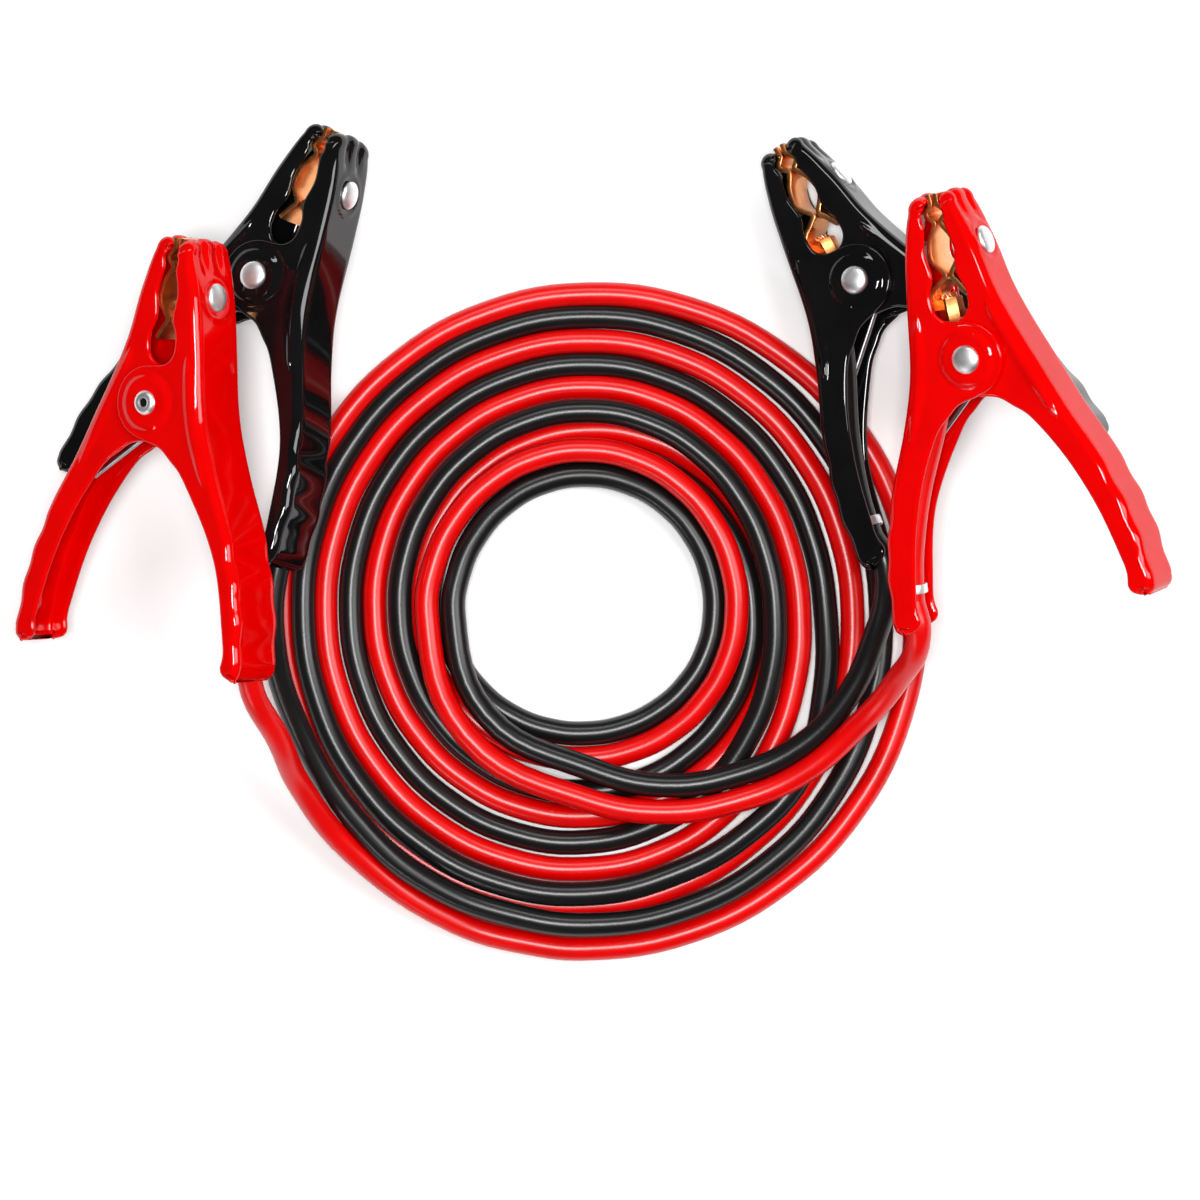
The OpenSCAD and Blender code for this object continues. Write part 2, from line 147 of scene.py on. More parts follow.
def cable(name, start, turns, bulges, end):
    """A jacket along its whole route, from inside one handle to inside the other."""
    line = bpy.data.curves.new(name, "CURVE")
    line.dimensions = "3D"
    line.bevel_depth = cable_d / 2
    line.bevel_resolution = 6
    line.resolution_u = 6
    line.use_fill_caps = True
    route = (way_out(start, (-inside, 0)) + [Vector(p) / 1000 for p in routes[start]]
             + coil_points(turns, bulges) + [Vector(p) / 1000 for p in routes[end]]
             + way_out(end, (0, -inside)))
    spline = line.splines.new("BEZIER")
    spline.bezier_points.add(len(route) - 1)
    for point, place in zip(spline.bezier_points, route):
        point.co = place
        point.handle_left_type = "AUTO"
        point.handle_right_type = "AUTO"
    piece = bpy.data.objects.new(name, line)
    bpy.context.scene.collection.objects.link(piece)
    return piece, route


def route_length(piece):
    """Length of the cable's evaluated centreline, in metres."""
    straight = piece.data.copy()
    straight.bevel_depth = 0
    probe = bpy.data.objects.new("probe", straight)
    bpy.context.scene.collection.objects.link(probe)
    mesh = probe.evaluated_get(bpy.context.evaluated_depsgraph_get()).to_mesh()
    total = sum((mesh.vertices[e.vertices[0]].co - mesh.vertices[e.vertices[1]].co).length
                for e in mesh.edges)
    bpy.data.objects.remove(probe)
    return total


def jacket(name, colour):
    """Extruded vinyl: satin gloss, with a slightly uneven tint and a fine grain."""
    m = bpy.data.materials.new(name)
    m.use_nodes = True
    nodes, links = m.node_tree.nodes, m.node_tree.links
    skin = nodes["Principled BSDF"]
    skin.inputs["IOR"].default_value = 1.5
    skin.inputs["Specular IOR Level"].default_value = 0.42
    place = nodes.new("ShaderNodeTexCoord")
    wander = nodes.new("ShaderNodeTexNoise")
    wander.inputs["Scale"].default_value = 70
    wander.inputs["Detail"].default_value = 6
    links.new(place.outputs["Object"], wander.inputs["Vector"])
    tint = nodes.new("ShaderNodeValToRGB")
    tint.color_ramp.elements[0].position = 0.35
    tint.color_ramp.elements[0].color = (*[c * 0.88 for c in colour], 1)
    tint.color_ramp.elements[1].position = 0.7
    tint.color_ramp.elements[1].color = (*colour, 1)
    links.new(wander.outputs["Fac"], tint.inputs["Fac"])
    links.new(tint.outputs["Color"], skin.inputs["Base Color"])
    matt = nodes.new("ShaderNodeMapRange")
    matt.inputs["To Min"].default_value = 0.27
    matt.inputs["To Max"].default_value = 0.32
    links.new(wander.outputs["Fac"], matt.inputs["Value"])
    links.new(matt.outputs["Result"], skin.inputs["Roughness"])
    grain = nodes.new("ShaderNodeTexNoise")
    grain.inputs["Scale"].default_value = 900
    grain.inputs["Detail"].default_value = 3
    links.new(place.outputs["Object"], grain.inputs["Vector"])
    bump = nodes.new("ShaderNodeBump")
    bump.inputs["Strength"].default_value = 0.03
    bump.inputs["Distance"].default_value = 0.0004
    links.new(grain.outputs["Fac"], bump.inputs["Height"])
    links.new(bump.outputs["Normal"], skin.inputs["Normal"])
    return m


red_jacket = jacket("red_jacket", (0.76, 0.0, 0.0))
black_jacket = jacket("black_jacket", (0.006, 0.006, 0.0065))
for colour, finish, turns, bulges in (("red", red_jacket, red_turns, red_bulges),
                                      ("black", black_jacket, black_turns, black_bulges)):
    piece, route = cable(colour + "_cable", "left_" + colour, turns, bulges, "right_" + colour)
    piece.data.materials.append(finish)
    round(route_length(piece), 2)
    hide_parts("left_%s_tail" % colour, "right_%s_tail" % colour)
    if colour == "black":
        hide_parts("cable_coil")
    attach(piece, "cable_and_cable_arms")

# --- Clamp arms -----------------------------------------------------------------------------
# Every clamp has two arms pressed from 1.2 mm steel into deep channels and dipped in soft
# vinyl. The lever's flanges nest inside the cable arm's. Both are drawn in millimetres: pivot
# at the origin along Z, jaws towards +Y, the lever's web towards +X.
wall = 2.4
lever_half_width = 11.6
cable_arm_half_width = 14.3
# How far each arm's jaw is set over sideways, so that both meet in the middle.
jaw_shift = 3
# The round lobe that carries the pivot, and the hollow shoulder between it and the jaw.
lobe_r = 14.5
shoulder_r = 7
shoulder_y = 22.2
# The bend between web and flange, which is tighter at the tip, and the tip itself.
web_corner_r = 3.4
tip_corner_r = 2.6
tip_centre = np.array([5.8, 61.4])
tip_r = 3.6
tip_narrowing = 1.6
lip_end = (2.4, 62)
# Web and flange edges from the handle to the jaw, then the rounded end of the handle.
web_keys = [(55, -96), (55, -92.9), (52.3, -71.7), (44.5, -47), (33.6, -23.2), (24.9, 0),
            (18.7, 22.8), (14.6, 43), (9.4, 60.4), (9.4, 61.4)]
inner_keys = [(55, -96), (55.2, -87.9), (48.4, -67.2), (36.8, -46.5), (22.1, -27.5),
              (13.9, -20.8), (7.9, -16.8), (0, -15.1)]
jaw_keys = [(7, 22.2), (6.8, 27.2), (4.6, 33.5), (5.6, 43), (3.8, 52), (4.2, 57), (3.2, 60)]
web_end_keys = [(52.4, -100.8), (53.6, -100), (54.5, -98.8), (54.9, -97.4)]
inner_end_keys = [(54.4, -100.9), (56, -100.4), (55.4, -99.2), (55.1, -97.6)]
inner_end_sink = [0.36, 0.72, 0.9, 0.98]
# How much deeper the flanges get along the handle, and how much lower the cable arm's flange
# is cut on the far side of the strap.
handle_depth = {"lever": 10.4, "cable": 12.6}
low_flange = 4.6
# Finger grips along the handle's web: where they start and end, how many and how deep.
grip_start, grip_end, grip_count, grip_height = 47.5, 94, 3, 0.7
# The raised collar round the pivot, on the cable arm, and the groove round it on both.
collar_rise, collar_foot_r, collar_top_r = 1.0, 11.1, 9.6
groove_depth, groove_r, groove_width = 0.4, 12.5, 0.8
# The pinched dart that runs past the pivot, close to the bend.
dart_rise, dart_inset, dart_half_width = 0.95, 1.6, 2.1
dart_y, dart_half_length = -4, 25
# The jaw rivet's seat in the web, a shallow dish with a raised rim.
rivet_y, dish_r, dish_depth, rim_r, rim_rise = 43, 6, 0.35, 7.6, 0.45
# The two flutes that part the tip into three lobes, and how far its corners fall back.
flute_z, flute_width, flute_depth = 4.6, 1.5, 1.5
corner_fall = 2.6
# Steps across a flange, across the web and inside each of them.
flange_steps, web_steps, inside_steps = 26, 16, 6


def drawn(keys, steps=12):
    """A smooth line through a few points."""
    xs, ys = [k[0] for k in keys], [k[1] for k in keys]
    at = np.linspace(0, len(keys) - 1, (len(keys) - 1) * steps + 1)
    return np.array([(smooth(xs, t), smooth(ys, t)) for t in at])


def arc(centre, r, start, end, steps):
    """Points on a circle, between two angles in degrees."""
    turn = np.radians(np.linspace(start, end, steps + 1))
    return np.array(centre) + r * np.stack([np.cos(turn), np.sin(turn)], 1)


def spaced(line, gap):
    """The same line with points about one gap apart."""
    along = np.concatenate([[0], np.cumsum(np.linalg.norm(np.diff(line, axis=0), axis=1))])
    at = np.linspace(0, along[-1], max(2, int(along[-1] / gap) + 1))
    return np.stack([np.interp(at, along, line[:, k]) for k in (0, 1)], 1)


def normals(line, side):
    """Unit normals of a line, on its left for side 1 and on its right for side -1."""
    way = np.gradient(line, axis=0)
    way /= np.maximum(np.linalg.norm(way, axis=1), 1e-9)[:, None]
    return side * np.stack([-way[:, 1], way[:, 0]], 1)


def step_up(v, low, high):
    """A soft step from 0 to 1 between two values."""
    t = np.clip((v - low) / (high - low), 0, 1)
    return t * t * (3 - 2 * t)


def arm_mesh(name, shift, half, mirrored):
    """One channel as a thick strip: at each station it runs from one flange's free edge over
    the web to the other flange's, and back along the inside."""
    def moved(line):
        """A line of the jaw, set over with it."""
        return line + np.stack([shift * np.clip(line[:, 1] / lobe_r, 0, 1),
                                np.zeros(len(line))], 1)
    web_line = drawn(web_keys)
    web_line[:, 0] += shift * step_up(web_line[:, 1], -12, 30)
    depth = handle_depth["cable" if mirrored else "lever"]
    rim_line = drawn(inner_keys)
    rim_line[:, 0] -= depth * step_up(-rim_line[:, 1], 12, 90) ** 0.8
    inner = np.concatenate([
        rim_line, arc((0, 0), lobe_r, -95, -265 if mirrored else -257, 40),
        arc((shift, shoulder_y), shoulder_r, -78, -15, 14), moved(drawn(jaw_keys))])
    inner = spaced(inner, 1.15)
    web = np.stack([np.interp(inner[:, 1], web_line[:, 1], web_line[:, 0]), inner[:, 1]], 1)
    nose = moved(arc(tip_centre, tip_r, 8, 160, 12))
    lip = np.linspace(inner[-1], (lip_end[0] + shift, lip_end[1]), 14)[1:]
    heel = drawn([(x - depth * sink, y)
                  for (x, y), sink in zip(inner_end_keys, inner_end_sink)], 2)
    inner = np.concatenate([heel, inner, lip])
    web = np.concatenate([drawn(web_end_keys, 2), web, nose])
    line_normals = normals(web_line, 1)
    into_web = np.stack([np.interp(web[:, 1], web_line[:, 1], line_normals[:, k])
                         for k in (0, 1)], 1)
    into_web[:4] = normals(web[:5], 1)[:4]
    into_web[-len(nose):] = tip_centre + (shift, 0) - nose
    into_web /= np.linalg.norm(into_web, axis=1)[:, None]
    into_edge = normals(inner, -1)
    grip = (-web[:, 1] - grip_start) / (grip_end - grip_start)
    wave = grip_height * (1 - np.cos(grip * grip_count * 2 * math.pi)) / 2
    web = web + into_web * np.where((grip > 0) & (grip < 1), wave, 0)[:, None]
    corner = web_corner_r + (tip_corner_r - web_corner_r) * step_up(web[:, 1], 46, 60)
    h = wall / 2
    half = half - tip_narrowing * step_up(web[:, 1], 56, 66) ** 1.5
    full_edge = inner + into_edge * h
    bend = web + into_web * corner[:, None]
    n = len(web)
    rings, outs = [], []

    def add(points, z, out, out_z):
        """One line of points along the arm, with the way that faces out of the wall there."""
        rings.append(np.column_stack([points, z + np.zeros(n)]))
        outs.append(np.column_stack([out, np.full(n, out_z)]))

    cut = low_flange * step_up(-web[:, 1], 22, 62) if mirrored else np.zeros(n)
    edges = {1: full_edge, -1: full_edge + np.column_stack([cut, 0 * cut])}
    none = np.zeros((n, 2))
    # The outside: round a free edge, up the flange, round the bend and over the web.
    for side in (1, -1):
        order = []
        edge = edges[side]
        for turn in np.radians(np.linspace(-90, 90, 7)):
            order.append((edge - into_edge * h * math.cos(turn), half - h + h * math.sin(turn),
                          -into_edge * math.cos(turn), math.sin(turn)))
        for k in range(1, flange_steps):
            order.append((edge + (bend - edge) * k / flange_steps, half, none, 1))
        for turn in np.radians(np.linspace(0, 90, 8)):
            order.append((bend - into_web * (corner * math.sin(turn))[:, None],
                          half - corner * (1 - math.cos(turn)),
                          -into_web * math.sin(turn), math.cos(turn)))
        if side == 1:
            for points, z, out, out_z in order:
                add(points, z, out, out_z)
            flat = half - corner
            for k in range(1, web_steps):
                add(web, flat * (1 - 2 * k / web_steps), -into_web, 0)
        else:
            for points, z, out, out_z in reversed(order):
                add(points, -z, out, -out_z)
    outer_count = len(rings)
    # The inside, back again, with a tighter bend.
    tight = np.maximum(corner - wall, 0.3)
    for side in (-1, 1):
        order = []
        edge = edges[side]
        for k in range(inside_steps + 1):
            order.append((edge + (bend - edge) * k / inside_steps, side * (half - wall), none,
                          -side))
        for turn in np.radians((30, 60, 90)):
            order.append((bend - into_web * (tight * math.sin(turn))[:, None],
                          side * (half - wall - tight * (1 - math.cos(turn))),
                          into_web * math.sin(turn), -side * math.cos(turn)))
        if side == -1:
            for points, z, out, out_z in order:
                add(points, z, out, out_z)
            flat = half - wall - tight
            for k in range(1, inside_steps):
                add(web + into_web * (corner - tight)[:, None],
                    -flat * (1 - 2 * k / inside_steps), into_web, 0)
        else:
            for points, z, out, out_z in reversed(order):
                add(points, z, out, out_z)
    shape = np.stack(rings, 1)
    out = np.stack(outs, 1)
    # Raised and sunk details on the outside.
    x, y, z = shape[:, :outer_count, 0], shape[:, :outer_count, 1], shape[:, :outer_count, 2]
    on_flange = np.abs(out[:, :outer_count, 2])
    on_web = 1 - on_flange
    rise = np.zeros_like(x)
    from_pivot = np.hypot(x, y)
    if mirrored:
        rise += collar_rise * step_up(-from_pivot, -collar_foot_r, -collar_top_r) * on_flange
    rise -= groove_depth * np.exp(-((from_pivot - groove_r) / groove_width) ** 2) * on_flange
    to_bend = bend[:, None, 0] - x
    taper = np.sqrt(np.clip(1 - ((y - dart_y) / dart_half_length) ** 2, 0.001, 1))
    dart_width = dart_half_width * taper
    dart = np.exp(-((to_bend - dart_inset) / dart_width) ** 2) * step_up(dart_width, 0.2, 1.4)
    rise += dart_rise * dart * on_flange
    near_rivet = np.hypot(y - rivet_y, z)
    rise += (rim_rise * np.exp(-((near_rivet - rim_r) / 0.9) ** 2)
             - dish_depth * step_up(-near_rivet, -dish_r - 1.4, -dish_r)) * on_web * (y > 30)
    flutes = np.exp(-((np.abs(z) - flute_z) / flute_width) ** 2)
    rise -= flute_depth * flutes * step_up(y, 49.5, 58) * on_web
    shape[:, :outer_count] += out[:, :outer_count] * rise[:, :, None]
    nose_fall = corner_fall * step_up(shape[:, :, 1], 50, 65)
    shape[:, :, 1] -= nose_fall * (shape[:, :, 2] / cable_arm_half_width) ** 2
    # The handle's end is a rolled rim.
    rim = []
    for turn in np.radians((90, 60, 30)):
        ring = shape[0] - out[0] * h * (1 - math.cos(turn))
        ring[:, :2] += -h * math.sin(turn) * np.array([0.15, 0.99])
        rim.append(ring)
    shape = np.concatenate([np.stack(rim), shape])
    stations, around = shape.shape[:2]
    faces = [(i * around + k, i * around + (k + 1) % around,
              (i + 1) * around + (k + 1) % around, (i + 1) * around + k)
             for i in range(stations - 1) for k in range(around)]
    last = (stations - 1) * around
    faces.append(tuple(range(around - 1, -1, -1)))
    faces.append(tuple(last + k for k in range(around)))
    points = shape.reshape(-1, 3) / 1000
    if mirrored:
        points[:, 0] *= -1
        faces = [f[::-1] for f in faces]
    mesh = bpy.data.meshes.new(name)
    mesh.from_pydata(points.tolist(), [], faces)
    mesh.polygons.foreach_set("use_smooth", [True] * len(faces))
    mesh.update()
    return mesh


def vinyl(name, colour, dark, gloss):
    """Dip-coated vinyl: high gloss, with the slow unevenness of a thick liquid coat. All of
    the gloss comes from the clear coat."""
    m = bpy.data.materials.new(name)
    m.use_nodes = True
    nodes, links = m.node_tree.nodes, m.node_tree.links
    skin = nodes["Principled BSDF"]
    skin.inputs["IOR"].default_value = 1.5
    skin.inputs["Specular IOR Level"].default_value = 0.0
    skin.inputs["Coat Weight"].default_value = gloss
    skin.inputs["Coat Roughness"].default_value = 0.04
    place = nodes.new("ShaderNodeTexCoord")
    cloud = nodes.new("ShaderNodeTexNoise")
    cloud.inputs["Scale"].default_value = 60
    cloud.inputs["Detail"].default_value = 5
    links.new(place.outputs["Object"], cloud.inputs["Vector"])
    tint = nodes.new("ShaderNodeValToRGB")
    tint.color_ramp.elements[0].position = 0.3
    tint.color_ramp.elements[0].color = (*dark, 1)
    tint.color_ramp.elements[1].position = 0.65
    tint.color_ramp.elements[1].color = (*colour, 1)
    links.new(cloud.outputs["Fac"], tint.inputs["Fac"])
    links.new(tint.outputs["Color"], skin.inputs["Base Color"])
    wear = nodes.new("ShaderNodeMapRange")
    wear.inputs["To Min"].default_value = 0.11
    wear.inputs["To Max"].default_value = 0.19
    links.new(cloud.outputs["Fac"], wear.inputs["Value"])
    links.new(wear.outputs["Result"], skin.inputs["Roughness"])
    runs = nodes.new("ShaderNodeTexNoise")
    runs.inputs["Scale"].default_value = 120
    runs.inputs["Detail"].default_value = 2
    links.new(place.outputs["Object"], runs.inputs["Vector"])
    bump = nodes.new("ShaderNodeBump")
    bump.inputs["Strength"].default_value = 0.12
    bump.inputs["Distance"].default_value = 0.0006
    links.new(runs.outputs["Fac"], bump.inputs["Height"])
    links.new(bump.outputs["Normal"], skin.inputs["Normal"])
    return m


def seated(name, data, clamp, body, nodes):
    """One piece of a clamp, put in its place on the clamp and joined to its body."""
    data = data.copy()
    data.transform(placed(clamp))
    piece = bpy.data.objects.new(clamp + "_" + name, data)
    bpy.context.scene.collection.objects.link(piece)
    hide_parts(*[clamp + "_" + node for node in nodes])
    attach(piece, clamp + "_lever" if body == "lever" else "cable_and_cable_arms")


vinyls = {"red": vinyl("red_vinyl", (0.75, 0.0, 0.0), (0.67, 0.0, 0.0), 0.65),
          "black": vinyl("black_vinyl", (0.005, 0.005, 0.0055), (0.003, 0.003, 0.0035), 0.85)}
for colour in ("red", "black"):
    lever = arm_mesh(colour + "_lever_arm", -jaw_shift, lever_half_width, False)
    cable_arm = arm_mesh(colour + "_cable_arm", jaw_shift, cable_arm_half_width, True)
    for mesh in (lever, cable_arm):
        mesh.materials.append(vinyls[colour])
    for side in ("left", "right"):
        clamp = side + "_" + colour
        seated("lever_arm", lever, clamp, "lever", ("lever_steel", "lever_coat"))
        seated("cable_arm", cable_arm, clamp, "cable", ("cable_arm_steel", "cable_arm_coat"))

# --- Copper jaws ----------------------------------------------------------------------------
# Each jaw is lined with a strip of copper-plated steel, bent into two waves that bite a
# battery post. The one on the cable arm ends in a crimp barrel around the bare strands.
copper_t = 2.1
copper_half_width = 8.7
copper_chamfer = 0.45
bite_keys = [(0.6, 64.4), (0.4, 60), (2.94, 56.6), (0.3, 53), (3.7, 46.5), (4.6, 39.5), (0.3, 33)]
cable_tail_keys = [(3.5, 29.5), (7.7, 26.5), (8.9, 23), (8.9, 20)]
lever_tail_keys = [(2.5, 28.5), (4.9, 24.5)]


def metal(name, colour, dull, grain, scratch=0.05):
    """A plated or drawn metal with fine marks and a slightly uneven sheen."""
    m = bpy.data.materials.new(name)
    m.use_nodes = True
    nodes, links = m.node_tree.nodes, m.node_tree.links
    skin = nodes["Principled BSDF"]
    skin.inputs["Metallic"].default_value = 1
    place = nodes.new("ShaderNodeTexCoord")
    cloud = nodes.new("ShaderNodeTexNoise")
    cloud.inputs["Scale"].default_value = grain
    cloud.inputs["Detail"].default_value = 8
    links.new(place.outputs["Object"], cloud.inputs["Vector"])
    tint = nodes.new("ShaderNodeValToRGB")
    tint.color_ramp.elements[0].position = 0.3
    tint.color_ramp.elements[0].color = (*[c * 0.78 for c in colour], 1)
    tint.color_ramp.elements[1].position = 0.62
    tint.color_ramp.elements[1].color = (*colour, 1)
    links.new(cloud.outputs["Fac"], tint.inputs["Fac"])
    links.new(tint.outputs["Color"], skin.inputs["Base Color"])
    sheen = nodes.new("ShaderNodeMapRange")
    sheen.inputs["To Min"].default_value = dull * 0.8
    sheen.inputs["To Max"].default_value = dull * 1.35
    links.new(cloud.outputs["Fac"], sheen.inputs["Value"])
    links.new(sheen.outputs["Result"], skin.inputs["Roughness"])
    bump = nodes.new("ShaderNodeBump")
    bump.inputs["Strength"].default_value = scratch
    bump.inputs["Distance"].default_value = 0.0002
    links.new(cloud.outputs["Fac"], bump.inputs["Height"])
    links.new(bump.outputs["Normal"], skin.inputs["Normal"])
    return m


def strip(name, line, thickness, half, chamfer, turned_to=1):
    """A bent strip with softened edges: line is its near face, seen along its width, and it
    gets its thickness on the line's left, or on its right if turned to -1."""
    side = normals(line, turned_to)
    profile = [(0, half - chamfer), (0.25 * chamfer, half - 0.25 * chamfer), (chamfer, half),
               (thickness - chamfer, half), (thickness - 0.25 * chamfer, half - 0.25 * chamfer),
               (thickness, half - chamfer)]
    profile += [(t, -z) for t, z in reversed(profile)]
    around = len(profile)
    points = [(*(line[i] + side[i] * t), z) for i in range(len(line)) for t, z in profile]
    faces = [(i * around + k, i * around + (k + 1) % around,
              (i + 1) * around + (k + 1) % around, (i + 1) * around + k)
             for i in range(len(line) - 1) for k in range(around)]
    last = (len(line) - 1) * around
    faces += [tuple(reversed(range(around))), tuple(last + k for k in range(around))]
    mesh = bpy.data.meshes.new(name)
    mesh.from_pydata((np.array(points) / 1000).tolist(), [], [f[::-1] for f in faces])
    mesh.update()
    return mesh


def joined(name, meshes):
    """Several meshes as one."""
    points, faces = [], []
    for mesh in meshes:
        start = len(points)
        points += [v.co[:] for v in mesh.vertices]
        faces += [tuple(start + k for k in p.vertices) for p in mesh.polygons]
    whole = bpy.data.meshes.new(name)
    whole.from_pydata(points, [], faces)
    whole.update()
    return whole


def rounded(mesh, angle):
    """Smooth shading that keeps edges sharper than an angle."""
    mesh.polygons.foreach_set("use_smooth", [True] * len(mesh.polygons))
    mesh.set_sharp_from_angle(angle=math.radians(angle))
    return mesh


def mirrored_mesh(mesh):
    """The cable arm's pieces are drawn like the lever's and then mirrored."""
    for v in mesh.vertices:
        v.co.x *= -1
    mesh.flip_normals()
    return mesh


def shifted_x(keys, shift):
    return [(x + shift, y) for x, y in keys]


# The barrel is rolled up from the strip: a tube of seven flats, open along one side.
barrel_r, barrel_bore = 5.1, 3.5
barrel_x, barrel_y, barrel_len = 8.3, 13.0, 11.0
barrel_end, barrel_bevel = 0.94, 0.5
folds = np.radians(np.linspace(95, 445, 8))
corners = np.stack([np.cos(folds), np.sin(folds)], 1)
rows = [(barrel_y, barrel_end), (barrel_y + barrel_bevel, 1),
        (barrel_y + barrel_len - barrel_bevel, 1), (barrel_y + barrel_len, barrel_end)]
points, faces = [], []
for y, swell in rows:
    points += [(barrel_x + barrel_r * swell * c, y, barrel_r * swell * s) for c, s in corners]
for y, swell in reversed(rows):
    points += [(barrel_x + barrel_bore * c / swell, y, barrel_bore * s / swell)
               for c, s in corners]
around = len(corners)
for i in range(len(rows) * 2):
    a, b = i * around, (i + 1) % (len(rows) * 2) * around
    faces += [(a + k, a + k + 1, b + k + 1, b + k) for k in range(around - 1)]
faces.append(tuple(i * around for i in range(len(rows) * 2)))
faces.append(tuple(i * around + around - 1 for i in reversed(range(len(rows) * 2))))
barrel = bpy.data.meshes.new("barrel")
barrel.from_pydata((np.array(points) / 1000).tolist(), [], faces)
cable_line = spaced(drawn(shifted_x(bite_keys + cable_tail_keys, jaw_shift)), 0.7)
lever_line = spaced(drawn(shifted_x(bite_keys + lever_tail_keys, -jaw_shift)), 0.7)
cable_plate = mirrored_mesh(joined("cable_plate", [
    strip("cable_strip", cable_line, copper_t, copper_half_width, copper_chamfer), barrel]))
lever_plate = strip("lever_plate", lever_line, copper_t, copper_half_width, copper_chamfer)
copper = metal("copper_plate", (0.97, 0.40, 0.14), 0.27, 220, 0.1)
for mesh in (cable_plate, lever_plate):
    rounded(mesh, 35)
    mesh.materials.append(copper)

# --- Rivets ---------------------------------------------------------------------------------
# Nickel-plated rivets: a big one that both arms turn on, with one domed head and one hollow
# rolled end, and a small one that holds each copper strip, with a standoff behind the web.
pivot_seat = 15.1
head_r = 5.6
pivot_head_h, jaw_head_h = 2.4, 2.0
shank_r = 4
bore_r = 0.0018
# Radius and height of the hollow end, from its bore outwards, above the seat.
rolled_end = [(0.8, -0.25), (1.6, -0.3), (1.65, -0.9), (1.9, -1.45), (2.5, -1.7), (3.4, -1.65),
              (4.1, -1.3), (4.6, -0.7), (4.9, 0), (4, 0.3)]
# Radius and height of the jaw rivet's standoff and flared end, from the end up.
standoff = [(1, -9.6), (3.6, -9.5), (3.9, -9.1), (3.6, -8.7), (3, -8.6), (3, -7.6),
            (4.4, -7.5), (4.4, -3.2), (3, -3.1), (3, -0.5)]
rivet_x, rivet_tilt = 0.0146, 9


def turned(name, profile, steps=56):
    """A lathe-turned piece: radius and height along Z, from one end to the other."""
    points = [(r * math.cos(a), r * math.sin(a), z) for r, z in profile
              for a in np.linspace(0, 2 * math.pi, steps, endpoint=False)]
    faces = [(i * steps + k, i * steps + (k + 1) % steps, (i + 1) * steps + (k + 1) % steps,
              (i + 1) * steps + k) for i in range(len(profile) - 1) for k in range(steps)]
    last = (len(profile) - 1) * steps
    faces += [tuple(reversed(range(steps))), tuple(last + k for k in range(steps))]
    mesh = bpy.data.meshes.new(name)
    mesh.from_pydata((np.array(points) / 1000).tolist(), [], faces)
    mesh.update()
    return rounded(mesh, 40)


def domed(r, h, seat):
    """A flat-topped dome with a rounded rim, from its rim to near its middle."""
    rim = [(r - 0.15, seat - 0.5), (r, seat + 0.15), (r - 0.08, seat + 0.5)]
    crown = [(r * math.cos(t) * 0.97, seat + 0.5 + (h - 0.5) * math.sin(t) ** 0.9)
             for t in np.radians((12, 24, 36, 48, 60, 70, 80, 86, 89))]
    return rim + crown


pivot_mesh = turned("pivot_rivet", [(r, z - pivot_seat) for r, z in rolled_end]
                    + [(shank_r, pivot_seat - 0.4)]
                    + domed(head_r, pivot_head_h, pivot_seat))
rivet_mesh = turned("jaw_rivet", standoff + domed(head_r, jaw_head_h, 0))
at_rivet = (Matrix.Translation((rivet_x, rivet_y / 1000, 0))
            @ Matrix.Rotation(math.radians(rivet_tilt), 4, "Z")
            @ Matrix.Rotation(math.pi / 2, 4, "Y"))
nickel = metal("nickel_plate", (0.92, 0.92, 0.93), 0.4, 160, 0.05)
pivot_mesh.materials.append(nickel)
# The faces inside the bore of the hollow end get a near-black finish: painted shade in the hole.
pivot_mesh.materials.append(metal("rivet_bore_painted_shade", (0.03, 0.028, 0.026), 0.6, 160, 0.05))
for face in pivot_mesh.polygons:
    in_bore = all(math.hypot(*pivot_mesh.vertices[v].co[:2]) < bore_r for v in face.vertices)
    if in_bore and face.center.z < 0:
        face.material_index = 1
# On one clamp the rivet was set from the other side.
flipped_pivot = pivot_mesh.copy()
flipped_pivot.transform(Matrix.Rotation(math.pi, 4, "Y"))
jaw_rivets = {}
for arm, shift in (("lever", -jaw_shift), ("cable", jaw_shift)):
    mesh = rivet_mesh.copy()
    mesh.transform(Matrix.Translation((shift / 1000, 0, 0)) @ at_rivet)
    if arm == "cable":
        mirrored_mesh(mesh)
    mesh.materials.append(nickel)
    jaw_rivets[arm] = mesh

# --- Springs and bushes ---------------------------------------------------------------------
# A torsion spring of 2.4 mm wire sits on a zinc-plated bush around the pivot rivet. Its legs
# press the handles apart, and so the jaws together.
wire_r = 1.2
coil_r = 8.0
turns = 5
spring_z = -2.0
coil_start, coil_extra = -110, 40
leg_x, leg_y = 33.2, -33.3


def wire(name, route, r, steps=12):
    """A round wire along a route, with closed ends."""
    route = np.array(route, float)
    way = np.gradient(route, axis=0)
    way /= np.linalg.norm(way, axis=1)[:, None]
    side = np.cross(way[0], (0.3, 0.2, 1.0))
    points = []
    for place, ahead in zip(route, way):
        side = side - ahead * side.dot(ahead)
        side /= np.linalg.norm(side)
        up = np.cross(ahead, side)
        for a in np.linspace(0, 2 * math.pi, steps, endpoint=False):
            points.append(place + r * (math.cos(a) * side + math.sin(a) * up))
    n = len(route)
    faces = [(i * steps + k, i * steps + (k + 1) % steps, (i + 1) * steps + (k + 1) % steps,
              (i + 1) * steps + k) for i in range(n - 1) for k in range(steps)]
    faces += [tuple(reversed(range(steps))), tuple((n - 1) * steps + k for k in range(steps))]
    mesh = bpy.data.meshes.new(name)
    mesh.from_pydata((np.array(points) / 1000).tolist(), [], faces)
    mesh.update()
    return rounded(mesh, 50)


